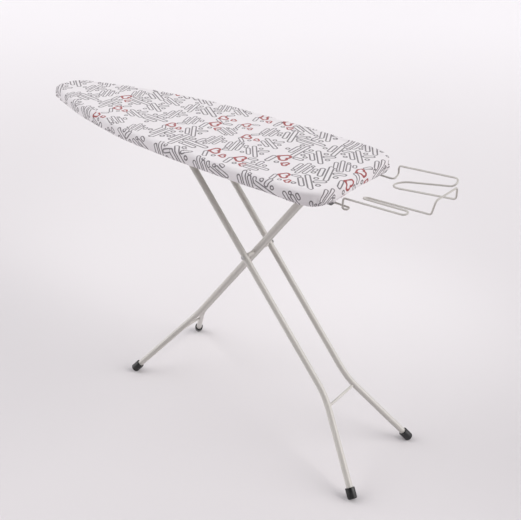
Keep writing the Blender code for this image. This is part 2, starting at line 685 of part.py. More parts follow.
def make_legs():
    wide_top = SLIDE_ROD + WIDE_UP * PAST_ROD + Vector((0.0, WIDE_STRAIGHT_Y, 0.0))
    make_frame("wide", on_wide, WIDE_UP, (WIDE_STRAIGHT_Y, WIDE_FOOT_Y, WIDE_BEND_Z), wide_top,
               WIDE_BEND_RADIUS, ("wide_crossbar", WIDE_BAR_Z), (CROSSING, SLIDE_ROD), WIDE)
    twin_top = HEEL_PIN + TWIN_UP * PAST_PIN + Vector((0.0, TWIN_STRAIGHT_Y, 0.0))
    make_frame("twin", on_twin, TWIN_UP, (TWIN_STRAIGHT_Y, TWIN_FOOT_Y, TWIN_BEND_Z), twin_top,
               TWIN_BEND_RADIUS, ("twin_brace", TWIN_BAR_Z), (CROSSING, HEEL_PIN), TWIN)


def make_slide_rod():
    reach = RAIL_OUTER_Y - SHEET - 0.0030
    mesh = cylinder_mesh("slide_rod", PIN_RADIUS, 2 * reach)
    place("slide_rod", mesh, ZINC, WIDE, SLIDE_ROD, turn_to((0.0, 1.0, 0.0)))
    for side, sign in SIDES.items():
        start = SLIDE_ROD + Vector((0.0, sign * (RAIL_INNER_Y + 0.0020), 0.0))
        end = SLIDE_ROD + Vector((0.0, sign * (RAIL_OUTER_Y - SHEET - 0.0010), 0.0))
        sleeve(f"slide_glide_{side}", BORE_RADIUS, GLIDE_RADIUS, start, end, PLASTIC, WIDE)


def make_crossing():
    """The bolt through both frames, with its nut, and the spacers between the frames."""
    outside = WIDE_STRAIGHT_Y + TUBE_RADIUS + GAP
    start = CROSSING + Vector((0.0, -outside, 0.0))
    end = CROSSING + Vector((0.0, outside + 0.003, 0.0))
    headed_pin("pivot_bolt", PIN_RADIUS, 0.0065, 0.0020, start, end, ZINC, TWIN)
    nut_base = CROSSING + Vector((0.0, outside, 0.0))
    nut_end = nut_base + Vector((0.0, 0.005, 0.0))
    cup("pivot_nut", BORE_RADIUS, 0.0065, 0.005, 0.0015, ZINC, TWIN, nut_end, (0.0, -1.0, 0.0))
    for side, sign in SIDES.items():
        start = CROSSING + Vector((0.0, sign * (TWIN_STRAIGHT_Y + TUBE_RADIUS + GAP), 0.0))
        end = CROSSING + Vector((0.0, sign * (WIDE_STRAIGHT_Y - TUBE_RADIUS - GAP), 0.0))
        sleeve(f"pivot_spacer_{side}", BORE_RADIUS, 0.0060, start, end, PAINT, TWIN)


make_board_skin()
make_deck()
make_rails()
make_heel_hinge()
make_lever_bracket()
make_lever()
make_rest()
make_legs()
make_slide_rod()
make_crossing()
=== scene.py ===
"""Looks of the ironing board: its printed cotton cover, felt underlay, painted frame, wire rest,
light and camera. Everything is in metres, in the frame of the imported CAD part."""

import json
import math

import bmesh
import bpy
from mathutils import Matrix, Vector, noise
from mathutils.geometry import delaunay_2d_cdt, interpolate_bezier


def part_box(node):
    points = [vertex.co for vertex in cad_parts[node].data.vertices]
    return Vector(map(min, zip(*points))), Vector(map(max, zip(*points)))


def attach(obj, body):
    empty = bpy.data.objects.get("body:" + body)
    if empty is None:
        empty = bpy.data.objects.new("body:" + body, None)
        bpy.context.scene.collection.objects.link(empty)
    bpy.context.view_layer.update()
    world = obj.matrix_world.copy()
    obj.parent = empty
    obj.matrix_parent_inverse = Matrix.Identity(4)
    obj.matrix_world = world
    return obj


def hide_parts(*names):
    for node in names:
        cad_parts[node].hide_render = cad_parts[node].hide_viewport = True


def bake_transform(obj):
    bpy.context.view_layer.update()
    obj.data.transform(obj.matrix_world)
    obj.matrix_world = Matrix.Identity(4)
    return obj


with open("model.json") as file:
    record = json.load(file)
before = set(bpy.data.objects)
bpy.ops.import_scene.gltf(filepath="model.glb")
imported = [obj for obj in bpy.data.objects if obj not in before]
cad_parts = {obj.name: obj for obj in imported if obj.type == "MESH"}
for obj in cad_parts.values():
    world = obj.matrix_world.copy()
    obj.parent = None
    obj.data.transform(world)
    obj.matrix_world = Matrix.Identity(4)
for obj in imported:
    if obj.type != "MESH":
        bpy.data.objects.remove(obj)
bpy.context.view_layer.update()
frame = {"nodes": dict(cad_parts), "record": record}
NODES = frame["nodes"]

# --- Sizes, in metres ---------------------------------------------------------------------------
BOARD_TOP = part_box("cover")[1].z
# Half of the board's outline, nose to heel: (x, half width).
HALF_OUTLINE = [
    (-0.689, 0.0), (-0.672, 0.048), (-0.631, 0.0715), (-0.562, 0.0965), (-0.459, 0.1295),
    (-0.343, 0.156), (-0.205, 0.1795), (-0.055, 0.1895), (0.117, 0.1922), (0.29, 0.1898),
    (0.40, 0.182), (0.4455, 0.1585), (0.4612, 0.108), (0.463, 0.0),
]
OUTLINE_POINTS = 680
PRINT_PITCH = 0.074  # mean spacing of the print's clusters
PRINT_SHIFT = (5.02, 1.33, 0.0)  # moves the scattered print under the cloth, to choose its layout
GREY_LINE, RED_LINE, THIN_RED_LINE = 1.85, 3.3, 2.5  # half widths of the print's lines, in mm
OUT_OF_SIGHT = 60.0  # added to a shape's distance, in mm, where it isn't to be printed
CLOTH_THICK = 0.0007
SLACK = -0.20  # shrink factor of the skirt's cloth, negative for extra cloth
SETTLE_FRAMES = 16
MOST_SETTLE = 0.006  # farthest that a point of the cloth may move while it settles
GRID = 0.0062  # spacing of the cloth's points on the flat top
CORNER = Vector((0.438, 0.150))  # about the middle of each rounded heel corner, mirrored in y
NOSE = Vector((-0.66, 0.0))
TUCK_HEIGHT = 0.0074  # how far a tuck of the hem stands out
HEM_SAG = 0.0055  # how far the gathered hem hangs below the straight one
SHARP_ANGLE = math.radians(38.0)  # edges of the CAD nodes steeper than this stay crisp
WELD_DISTANCE = 0.000005

# --- Camera, light and floor --------------------------------------------------------------------
CAMERA_PLACE = (1.3034, -1.4536, 1.5825)
CAMERA_YAW, CAMERA_PITCH, CAMERA_ROLL = (math.radians(angle) for angle in (38.383, 29.765, 1.534))
CAMERA_LENS, CAMERA_SENSOR = 50.588, 36.0  # in millimetres
SKY_STRENGTH = 0.67
SKY_AHEAD = (0.60, -0.77, -0.25)  # the sky dims towards this direction
FLOOR_AHEAD = (-0.62, 0.78, 0.0)  # away from the camera, along the floor; the floor's painted light grows this way
# across the floor; the floor's painted shade darkens it outwards along this
FLOOR_ASIDE = (0.78, 0.62, 0.0)
# middle of a pool of light painted on the floor beyond the board
PAINTED_LIGHT_POOL_CENTRE = (0.27, 0.66, 0.0)
FLOOR_HALF_SIZE = 40.0


# --- Material helpers ---------------------------------------------------------------------------
class Nodes:
    """Builds one material's node tree. Inputs may be sockets, numbers or tuples."""

    def __init__(self, name):
        self.material = bpy.data.materials.new(name)
        self.material.use_nodes = True
        self.tree = self.material.node_tree
        self.shader = self.tree.nodes["Principled BSDF"]

    def feed(self, socket, value):
        if isinstance(value, bpy.types.NodeSocket):
            self.tree.links.new(value, socket)
        else:
            socket.default_value = value

    def add(self, kind, inputs=(), **settings):
        node = self.tree.nodes.new(kind)
        for key, value in settings.items():
            setattr(node, key, value)
        for key, value in dict(inputs).items():
            self.feed(node.inputs[key], value)
        return node

    def math(self, operation, *values, clamp=False):
        node = self.add("ShaderNodeMath", operation=operation, use_clamp=clamp)
        for socket, value in zip(node.inputs, values):
            self.feed(socket, value)
        return node.outputs[0]

    def vector(self, operation, *values):
        node = self.add("ShaderNodeVectorMath", operation=operation)
        for socket, value in zip(node.inputs, values):
            self.feed(socket, value)
        return node.outputs["Value" if operation in ("LENGTH", "DOT_PRODUCT") else "Vector"]

    def scaled(self, value, factor):
        node = self.add("ShaderNodeVectorMath", {"Vector": value, "Scale": factor}, operation="SCALE")
        return node.outputs["Vector"]

    def remap(self, value, start, end, low=0.0, high=1.0, smooth=False):
        inputs = {"Value": value, "From Min": start, "From Max": end, "To Min": low, "To Max": high}
        kind = "SMOOTHSTEP" if smooth else "LINEAR"
        return self.add("ShaderNodeMapRange", inputs, interpolation_type=kind).outputs["Result"]

    def mix(self, factor, first, second):
        node = self.add("ShaderNodeMix", data_type="RGBA")
        sockets = {socket.identifier: socket for socket in node.inputs}
        self.feed(sockets["Factor_Float"], factor)
        self.feed(sockets["A_Color"], first)
        self.feed(sockets["B_Color"], second)
        return next(socket for socket in node.outputs if socket.identifier == "Result_Color")

    def noise(self, where, scale, detail=3.0, roughness=0.5):
        inputs = {"Vector": where, "Scale": scale, "Detail": detail, "Roughness": roughness}
        return self.add("ShaderNodeTexNoise", inputs).outputs["Fac"]

    def where(self):
        return self.add("ShaderNodeTexCoord").outputs["Object"]

    def bump(self, height, distance, strength=1.0, normal=None):
        inputs = {"Height": height, "Distance": distance, "Strength": strength}
        if normal is not None:
            inputs["Normal"] = normal
        return self.add("ShaderNodeBump", inputs).outputs["Normal"]

    def finish(self, colour, roughness, normal=None, **constants):
        self.feed(self.shader.inputs["Base Color"], colour)
        self.feed(self.shader.inputs["Roughness"], roughness)
        if normal is not None:
            self.feed(self.shader.inputs["Normal"], normal)
        for key, value in constants.items():
            self.shader.inputs[key.replace("_", " ")].default_value = value
        return self.material


def rgb(red, green, blue):
    return (red, green, blue, 1.0)


# --- Printed cotton -----------------------------------------------------------------------------
def capsule(n, point, centre, half_size, radius):
    """Signed distance from a rounded bar, in millimetres."""
    away = n.vector("ABSOLUTE", n.vector("SUBTRACT", point, (*centre, 0.0)))
    beyond = n.vector("MAXIMUM", n.vector("SUBTRACT", away, (*half_size, 0.0)), (0.0, 0.0, 0.0))
    return n.math("SUBTRACT", n.vector("LENGTH", beyond), radius)


def dot(n, point, centre, radius):
    """Signed distance from a disc, in millimetres."""
    return n.math("SUBTRACT", n.vector("LENGTH", n.vector("SUBTRACT", point, (*centre, 0.0))), radius)


def heart(n, point, centre, size):
    """Signed distance from a heart, about, in millimetres: two slanting bars round a core."""
    moved = n.vector("SUBTRACT", point, (*centre, 0.0))
    side = n.add("ShaderNodeSeparateXYZ", {"Vector": moved})
    folded = n.add("ShaderNodeCombineXYZ", {"X": n.math("ABSOLUTE", side.outputs["X"]),
                                            "Y": side.outputs["Y"]}).outputs["Vector"]
    foot = Vector((0.0, -0.66 * size, 0.0))
    reach = Vector((0.40 * size, 0.84 * size, 0.0))
    from_foot = n.vector("SUBTRACT", folded, tuple(foot))
    share = n.math("MULTIPLY", n.vector("DOT_PRODUCT", from_foot, tuple(reach)),
                   1.0 / reach.length_squared, clamp=True)
    away = n.vector("LENGTH", n.vector("SUBTRACT", from_foot, n.scaled(tuple(reach), share)))
    bars = n.math("SUBTRACT", away, n.remap(share, 0.0, 1.0, 0.10 * size, 0.46 * size))
    core = capsule(n, moved, (0.0, -0.05 * size), (0.0, 0.25 * size), 0.27 * size)
    return n.math("MINIMUM", bars, core)


def line(n, distance, half_width):
    """1 on the outline of a shape, 0 away from it."""
    edge = n.math("ABSOLUTE", distance)
    return n.remap(edge, half_width - 0.25, half_width + 0.25, 1.0, 0.0, smooth=True)


def least(n, distances):
    found = distances[0]
    for distance in distances[1:]:
        found = n.math("MINIMUM", found, distance)
    return found


def most(n, masks):
    found = masks[0]
    for mask in masks[1:]:
        found = n.math("MAXIMUM", found, mask)
    return found


def motif(n, cloth, feature):
    """The print round one scattered point: (grey lines, red lines, 1 inside its shapes)."""
    cell = n.add("ShaderNodeTexVoronoi",
                 {"Vector": cloth, "Scale": 1.0 / PRINT_PITCH, "Randomness": 0.34},
                 voronoi_dimensions="2D", feature=feature)
    chance = n.add("ShaderNodeSeparateColor", {"Color": cell.outputs["Color"]})
    local = n.vector("SUBTRACT", cloth, cell.outputs["Position"])
    angle = n.remap(n.math("POWER", chance.outputs["Red"], 0.6), 0.0, 1.0, -0.1, 1.55)
    turned = n.add("ShaderNodeVectorRotate", {"Vector": local, "Angle": angle},
                   rotation_type="Z_AXIS").outputs["Vector"]
    per_mm = n.remap(chance.outputs["Green"], 0.0, 1.0, 1230.0, 860.0)
    point = n.scaled(turned, per_mm)
    mirrored = n.vector("ABSOLUTE", n.vector("ADD", point, (2.5, 0.0, 0.0)))
    low_half = n.math("LESS_THAN", n.add("ShaderNodeSeparateXYZ", {"Vector": point}).outputs["Y"], 3.0)
    plain = n.math("GREATER_THAN", chance.outputs["Green"], 0.42)
    is_heart = n.math("GREATER_THAN", chance.outputs["Blue"], 0.86)
    shared = [capsule(n, point, (0.0, 0.0), (36.0, 0.0), 5.4),
              capsule(n, point, (-3.0, -17.6), (18.0, 0.0), 5.4)]
    stub = [capsule(n, point, (-2.5, 24.0), (0.0, 9.5), 5.4),
            n.math("ADD", dot(n, mirrored, (19.0, 18.0), 5.0), n.math("MULTIPLY", low_half, OUT_OF_SIGHT)),
            dot(n, point, (3.0, -34.5), 4.6)]
    stack = [capsule(n, point, (6.0, 17.6), (21.0, 0.0), 5.4),
             capsule(n, point, (-6.0, 34.6), (5.0, 0.0), 5.0),
             dot(n, point, (-27.0, 17.0), 4.6),
             dot(n, point, (27.0, -17.0), 5.0)]
    far_if_stacked = n.remap(plain, 0.0, 1.0, OUT_OF_SIGHT, 0.0)
    far_if_plain = n.remap(plain, 0.0, 1.0, 0.0, OUT_OF_SIGHT)
    bars = (shared + [n.math("ADD", part, far_if_stacked) for part in stub]
            + [n.math("ADD", part, far_if_plain) for part in stack])
    bar_lines = most(n, [line(n, bar, GREY_LINE) for bar in bars])
    hearts = [heart(n, point, (-8.0, -6.0), 20.0), heart(n, point, (23.0, 18.0), 12.0)]
    rings = [dot(n, point, (24.0, -4.0), 4.8), capsule(n, point, (14.0, -27.0), (14.0, 0.0), 5.2),
             capsule(n, point, (-22.0, 25.0), (0.0, 8.0), 5.2)]
    heart_lines = most(n, [line(n, hearts[0], RED_LINE), line(n, hearts[1], THIN_RED_LINE)])
    not_heart = n.math("SUBTRACT", 1.0, is_heart)
    ring_lines = most(n, [line(n, ring, GREY_LINE) for ring in rings])
    grey = most(n, [n.math("MULTIPLY", bar_lines, not_heart), n.math("MULTIPLY", ring_lines, is_heart)])
    red = n.math("MULTIPLY", heart_lines, is_heart)
    inside_bars = n.math("MULTIPLY", n.math("LESS_THAN", least(n, bars), 3.0), not_heart)
    inside_hearts = n.math("MULTIPLY", n.math("LESS_THAN", least(n, hearts + rings), 4.0), is_heart)
    return grey, red, n.math("MAXIMUM", inside_bars, inside_hearts)


def printed_cotton():
    n = Nodes("printed_cotton")
    cloth = n.vector("ADD", n.add("ShaderNodeUVMap", uv_map="cut").outputs["UV"], PRINT_SHIFT)
    grey, red, inside = motif(n, cloth, "F1")
    grey_2, red_2, _ = motif(n, cloth, "F2")
    clear = n.math("SUBTRACT", 1.0, inside)
    grey = n.math("MAXIMUM", grey, n.math("MULTIPLY", grey_2, clear))
    red = n.math("MAXIMUM", red, n.math("MULTIPLY", red_2, clear))
    worn = n.remap(n.noise(cloth, 900.0, 2.0), 0.25, 0.75, 0.82, 1.0)
    mottle = n.noise(cloth, 14.0, 4.0)
    base = n.mix(mottle, rgb(0.735, 0.700, 0.722), rgb(0.775, 0.740, 0.762))
    colour = n.mix(n.math("MULTIPLY", grey, worn), base, rgb(0.135, 0.120, 0.130))
    colour = n.mix(n.math("MULTIPLY", red, worn), colour, rgb(0.29, 0.010, 0.010))
    warp = n.add("ShaderNodeTexWave", {"Vector": cloth, "Scale": 520.0, "Distortion": 0.4},
                 bands_direction="X").outputs["Fac"]
    weft = n.add("ShaderNodeTexWave", {"Vector": cloth, "Scale": 520.0, "Distortion": 0.4},
                 bands_direction="Y").outputs["Fac"]
    weave = n.math("ADD", n.math("MULTIPLY", warp, weft), n.noise(cloth, 160.0, 2.0))
    normal = n.bump(weave, 0.00012, 0.55)
    slubs = n.noise(cloth, 60.0, 3.0)
    normal = n.bump(slubs, 0.0006, 0.35, normal)
    return n.finish(colour, n.remap(mottle, 0.0, 1.0, 0.78, 0.92), normal,
                    Sheen_Weight=0.22, Sheen_Roughness=0.45, Specular_IOR_Level=0.25)


def felt():
    n = Nodes("needled_felt")
    at = n.where()
    fibres = n.noise(at, 900.0, 5.0, 0.7)
    clumps = n.noise(at, 90.0, 4.0)
    colour = n.mix(clumps, rgb(0.66, 0.65, 0.62), rgb(0.80, 0.79, 0.76))
    normal = n.bump(n.math("ADD", fibres, clumps), 0.0009, 0.7)
    return n.finish(colour, 0.96, normal, Sheen_Weight=0.3)


# --- Metal, rubber and plastic ------------------------------------------------------------------
def paint(name, light, dark, roughness):
    """Powder coat: faint orange peel, a little colour drift and small scuffs."""
    n = Nodes(name)
    at = n.where()
    drift = n.noise(at, 9.0, 4.0)
    peel = n.noise(at, 700.0, 2.0)
    scuffs = n.remap(n.noise(at, 55.0, 6.0, 0.65), 0.62, 0.75)
    colour = n.mix(drift, dark, light)
    colour = n.mix(n.math("MULTIPLY", scuffs, 0.12), colour, rgb(0.30, 0.29, 0.27))
    rough = n.remap(n.math("ADD", peel, scuffs), 0.0, 2.0, roughness - 0.05, roughness + 0.16)
    normal = n.bump(peel, 0.0002, 0.35)
    return n.finish(colour, rough, normal, Coat_Weight=0.3, Coat_Roughness=0.22)


def zinc():
    n = Nodes("zinc_plate")
    at = n.where()
    spangle = n.add("ShaderNodeTexVoronoi", {"Vector": at, "Scale": 260.0}).outputs["Color"]
    grain = n.noise(at, 500.0, 4.0)
    level = n.add("ShaderNodeSeparateColor", {"Color": spangle}).outputs["Red"]
    colour = n.mix(level, rgb(0.44, 0.435, 0.43), rgb(0.58, 0.575, 0.57))
    rough = n.remap(n.math("ADD", level, grain), 0.0, 2.0, 0.28, 0.52)
    return n.finish(colour, rough, n.bump(grain, 0.0001, 0.3), Metallic=1.0)


def rubber():
    n = Nodes("foot_rubber")
    at = n.where()
    dust = n.remap(n.noise(at, 70.0, 5.0, 0.6), 0.45, 0.8)
    grain = n.noise(at, 1500.0, 3.0)
    colour = n.mix(dust, rgb(0.0045, 0.0045, 0.005), rgb(0.020, 0.0195, 0.019))
    return n.finish(colour, n.remap(dust, 0.0, 1.0, 0.36, 0.6), n.bump(grain, 0.0002, 0.4))


def plastic():
    n = Nodes("moulded_plastic")
    at = n.where()
    grain = n.noise(at, 1100.0, 3.0)
    drift = n.noise(at, 40.0, 3.0)
    colour = n.mix(drift, rgb(0.060, 0.059, 0.060), rgb(0.105, 0.103, 0.104))
    return n.finish(colour, n.remap(grain, 0.0, 1.0, 0.38, 0.55), n.bump(grain, 0.00015, 0.35))


LOOKS = {
    "cover": printed_cotton(),
    "felt": felt(),
    "frame_paint": paint("frame_paint", rgb(0.58, 0.555, 0.525), rgb(0.52, 0.495, 0.465), 0.36),
    "wire_paint": paint("wire_paint", rgb(0.54, 0.515, 0.485), rgb(0.47, 0.445, 0.415), 0.32),
    "zinc": zinc(),
    "rubber": rubber(),
    "plastic": plastic(),
}


def dress(piece, slot):
    """Gives a piece the look of one of the record's slots."""
    piece.data.materials.clear()
    piece.data.materials.append(LOOKS[slot])


# --- Mesh helpers -------------------------------------------------------------------------------
def new_piece(name, shape, slot, body=None):
    """An object from a bmesh, smooth shaded, in its slot's look and riding on a body if one is named."""
    mesh = bpy.data.meshes.new(name)
    shape.to_mesh(mesh)
    shape.free()
    for polygon in mesh.polygons:
        polygon.use_smooth = True
    piece = bpy.data.objects.new(name, mesh)
    bpy.context.scene.collection.objects.link(piece)
    dress(piece, slot)
    if body:
        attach(piece, body)
    return piece


def smooth_loop(corners, count):
    """Evenly spaced points on a smooth closed curve through the corners."""
    corners = [Vector(corner) for corner in corners]
    fine = []
    for i, start in enumerate(corners):
        before = corners[i - 1]
        end = corners[(i + 1) % len(corners)]
        after = corners[(i + 2) % len(corners)]
        chord = (end - start).length
        leaving = (end - before) * chord / (chord + (start - before).length)
        arriving = (after - start) * chord / (chord + (after - end).length)
        fine += interpolate_bezier(start, start + leaving / 3, end - arriving / 3, end, 40)[:-1]
    fine.append(fine[0])
    walked = [0.0]
    for first, second in zip(fine, fine[1:]):
        walked.append(walked[-1] + (second - first).length)
    loop = []
    place_in = 0
    for k in range(count):
        target = walked[-1] * k / count
        while walked[place_in + 1] < target:
            place_in += 1
        share = (target - walked[place_in]) / (walked[place_in + 1] - walked[place_in])
        loop.append(fine[place_in].lerp(fine[place_in + 1], share))
    return loop


def outward(loop):
    """The direction out of the loop at each of its points."""
    found = []
    for i in range(len(loop)):
        along = (loop[(i + 1) % len(loop)] - loop[i - 1]).normalized()
        found.append(Vector((-along.y, along.x)))
    return found


MIRRORED_HALF = [(x, -y) for x, y in reversed(HALF_OUTLINE[1:-1])]
OUTLINE = smooth_loop(HALF_OUTLINE + MIRRORED_HALF, OUTLINE_POINTS)
OUT = outward(OUTLINE)
STEP = (OUTLINE[1] - OUTLINE[0]).length


def close_rows(shape, rows):
    """Joins rows of points, top to bottom, into one closed skin with a cap on each end."""
    for above, below in zip(rows, rows[1:]):
        for i in range(len(above)):
            j = (i + 1) % len(above)
            shape.faces.new((above[i], below[i], below[j], above[j]))
    shape.faces.new(rows[0])
    shape.faces.new(list(reversed(rows[-1])))
    bmesh.ops.recalc_face_normals(shape, faces=shape.faces)


def smoothstep(low, high, value):
    share = min(1.0, max(0.0, (value - low) / (high - low)))
    return share * share * (3.0 - 2.0 * share)


# --- Cover --------------------------------------------------------------------------------------
# The cloth's section from 10 mm inside the board's outline to the hem:
# (distance along the cloth, inset from the outline, drop below the top).
EDGE_SECTION = [
    (0.0, 0.0100, 0.0), (0.0030, 0.0070, 0.0002), (0.0060, 0.0042, 0.0012), (0.0088, 0.0019, 0.0030),
    (0.0116, 0.0005, 0.0055), (0.0145, 0.0, 0.0085), (0.0190, 0.0, 0.0130), (0.0235, 0.0, 0.0175),
    (0.0280, 0.0001, 0.0220), (0.0325, 0.0004, 0.0265), (0.0360, 0.0013, 0.0298),
    (0.0390, 0.0034, 0.0322), (0.0420, 0.0060, 0.0338), (0.0460, 0.0098, 0.0350),
    (0.0505, 0.0142, 0.0356), (0.0555, 0.0190, 0.0360),
]


def pull(point):
    """How much the cloth is gathered: 0 on the long sides, 0.75 at the nose, 1 at the heel's corners."""
    corner = (Vector((point.x, abs(point.y))) - CORNER).length
    nose = (point - NOSE).length
    return max(1.0 - smoothstep(0.03, 0.115, corner), 0.75 * (1.0 - smoothstep(0.04, 0.15, nose)))


def tuck(walk, depth):
    """0 between the hem's tucks and 1 on the ridge of one, where the cloth is bunched outwards."""
    across = noise.noise(Vector((walk * 58.0, 1.3, depth * 6.0)))
    return max(0.0, 1.0 - abs(across) / 0.13)


def gather(walk, depth, strength):
    """How far the skirt stands out, in metres, at a distance along the hem and down the skirt."""
    slow = noise.noise(Vector((walk * 24.0, 3.1, 0.0)))
    quick = noise.noise(Vector((walk * 95.0, 9.7, depth * 6.0)))
    down = smoothstep(0.003, 0.032, depth)
    loose = 0.0008 * slow + 0.0004 * quick
    tight = TUCK_HEIGHT * tuck(walk, depth) ** 1.2 - 0.0006 + 0.0005 * quick
    return down * (loose * (1.0 - strength) + tight * strength)


def top_height(point, edge, strength):
    """Small rise and fall of the top cloth, in metres, at a distance in from the edge."""
    soft = noise.noise(Vector((point.x * 9.0, point.y * 13.0, 0.4)))
    ripple = noise.noise(Vector((point.x * 38.0, point.y * 30.0, 5.0)))
    near = 1.0 - smoothstep(0.0, 0.045, edge)
    return -0.00035 + 0.00030 * soft + 0.00012 * ripple + 0.0005 * near * strength * ripple


def cover_cloth():
    """The cover as one sheet: a gridded top, a rounded edge and a skirt turned under the rim."""
    flat, lifted, loop_size = [], [], OUTLINE_POINTS
    strengths = [pull(point) for point in OUTLINE]
    for on_cloth, inset, drop in reversed(EDGE_SECTION):
        for i, (point, out) in enumerate(zip(OUTLINE, OUT)):
            strength = strengths[i]
            wave = gather(i * STEP, drop, strength)
            under = smoothstep(0.030, 0.036, drop)
            slow = noise.noise(Vector((i * STEP * 17.0, 8.0, 0.0)))
            quick = noise.noise(Vector((i * STEP * 80.0, 2.0, 4.0)))
            sag = under * (0.0016 * slow - HEM_SAG * strength)
            wave_down = 0.0012 * under * quick * (0.3 + strength)
            moved = point + out * (-inset + wave * (1.0 - 0.5 * under))
            height = BOARD_TOP - drop + sag + wave_down
            if drop == 0.0:
                height += top_height(point, 0.0, strength)
            flat.append(point + out * (on_cloth - EDGE_SECTION[0][1]))
            lifted.append(Vector((moved.x, moved.y, height)))
    rings = len(EDGE_SECTION)
    rim = [flat[(rings - 1) * loop_size + i] for i in range(loop_size)]
    inner = grid_inside(rim)
    first = (rings - 1) * loop_size
    edges = [(i, (i + 1) % loop_size) for i in range(loop_size)]
    points, _, faces, origins, _, _ = delaunay_2d_cdt(rim + inner, edges, [], 1, 1e-7)
    numbers = []
    for found, made_from in zip(points, origins):
        if made_from[0] < loop_size:
            numbers.append(first + made_from[0])
            continue
        numbers.append(len(flat))
        edge = distance_in(found)
        flat.append(found)
        lifted.append(Vector((found.x, found.y, BOARD_TOP + top_height(found, edge, pull(found)))))
    shape = bmesh.new()
    layer = shape.loops.layers.uv.new("cut")
    verts = [shape.verts.new(point) for point in lifted]
    cut_at = {vert: where for vert, where in zip(verts, flat)}
    quads = []
    for r in range(rings - 1):
        for i in range(loop_size):
            j = (i + 1) % loop_size
            a, b = r * loop_size, (r + 1) * loop_size
            quads.append((a + i, b + i, b + j, a + j))
    for face in quads + [tuple(numbers[k] for k in face) for face in faces]:
        made = shape.faces.new([verts[k] for k in face])
        for corner in made.loops:
            corner[layer].uv = cut_at[corner.vert]
    bmesh.ops.recalc_face_normals(shape, faces=shape.faces)
    return shape


def grid_inside(rim):
    """Grid points inside the loop, clear of it by half a step."""
    found = []
    rows = int(0.2 / GRID)
    for row in range(-rows, rows + 1):
        y = row * GRID
        crossings = []
        for i, first in enumerate(rim):
            second = rim[(i + 1) % len(rim)]
            if (first.y > y) != (second.y > y):
                crossings.append(first.x + (second.x - first.x) * (y - first.y) / (second.y - first.y))
        if len(crossings) < 2:
            continue
        left, right = min(crossings) + 0.5 * GRID, max(crossings) - 0.5 * GRID
        count = int((right - left) / GRID)
        for k in range(count + 1):
            x = left + (right - left) * k / max(1, count)
            point = Vector((x, y))
            if distance_in(point) > EDGE_SECTION[0][1] + 0.45 * GRID:
                found.append(point)
    return found


def distance_in(point):
    """Distance in from the outline, measured to every fourth of its points."""
    return min((point - other).length for other in OUTLINE[::4])


def flat_area(shape):
    """Area of the cloth as it was cut, from its flat coordinates."""
    layer = shape.loops.layers.uv["cut"]
    total = 0.0
    for face in shape.faces:
        corners = [corner[layer].uv.copy() for corner in face.loops]
        twice = sum(a.cross(b) for a, b in zip(corners, corners[1:] + corners[:1]))
        total += abs(twice) / 2.0
    return total


def board_form():
    """A closed form just inside the cover, for the cloth to lie against while it settles."""
    section = [(0.0110, 0.0012), (0.0052, 0.0030), (0.0022, 0.0062), (0.0018, 0.0100),
               (0.0018, 0.0265), (0.0060, 0.0300)]
    shape = bmesh.new()
    rows = []
    for inset, drop in section:
        points = [OUTLINE[i] - OUT[i] * inset for i in range(0, OUTLINE_POINTS, 2)]
        rows.append([shape.verts.new((point.x, point.y, BOARD_TOP - drop)) for point in points])
    close_rows(shape, rows)
    mesh = bpy.data.meshes.new("board_form")
    shape.to_mesh(mesh)
    shape.free()
    form = bpy.data.objects.new("board_form", mesh)
    bpy.context.scene.collection.objects.link(form)
    form.modifiers.new("solid", "COLLISION")
    form.collision.thickness_outer = 0.0006
    form.collision.cloth_friction = 8.0
    return form


def settle(cover):
    """Lets the skirt bunch up at the hem by a cloth simulation, and keeps its result in the mesh."""
    form = board_form()
    held = cover.vertex_groups.new(name="held")
    slack = cover.vertex_groups.new(name="slack")
    for vertex in cover.data.vertices:
        point = Vector((vertex.co.x, vertex.co.y))
        depth = BOARD_TOP - vertex.co.z
        edge = distance_in(point) if depth < 0.004 else 0.0
        free = (1.0 - smoothstep(0.006, 0.022, edge)) * (1.0 - smoothstep(0.0335, 0.0352, depth))
        held.add([vertex.index], 1.0 - free, "REPLACE")
        extra = smoothstep(0.004, 0.020, depth) * (0.25 + 0.75 * pull(point))
        slack.add([vertex.index], extra, "REPLACE")
    cloth = cover.modifiers.new("settle", "CLOTH")
    cloth.settings.quality = 6
    cloth.settings.mass = 0.15
    cloth.settings.tension_stiffness = 25.0
    cloth.settings.compression_stiffness = 25.0
    cloth.settings.shear_stiffness = 8.0
    cloth.settings.bending_stiffness = 0.01
    cloth.settings.vertex_group_mass = "held"
    cloth.settings.vertex_group_shrink = "slack"
    cloth.settings.shrink_max = SLACK
    cloth.settings.effector_weights.gravity = 0.0
    cloth.collision_settings.collision_quality = 3
    cloth.collision_settings.distance_min = 0.0008
    cloth.point_cache.frame_end = SETTLE_FRAMES
    scene = bpy.context.scene
    for number in range(1, SETTLE_FRAMES + 1):
        scene.frame_set(number)
    graph = bpy.context.evaluated_depsgraph_get()
    moved = [vertex.co.copy() for vertex in cover.evaluated_get(graph).data.vertices]
    cover.modifiers.remove(cloth)
    for vertex, place in zip(cover.data.vertices, moved):
        step = place - vertex.co
        if step.length > MOST_SETTLE:
            step = step * (MOST_SETTLE / step.length)
        vertex.co += step
    bpy.data.objects.remove(form)
    scene.frame_set(1)


def make_cover():
    """The cover: its cloth, settled by simulation, then given its thickness."""
    shape = cover_cloth()
    area = flat_area(shape)
    cover = new_piece("cover_cloth", shape, "cover", "board")
    settle(cover)
    thick = cover.modifiers.new("cloth_thickness", "SOLIDIFY")
    thick.thickness = CLOTH_THICK
    thick.offset = -1.0
    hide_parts("cover")


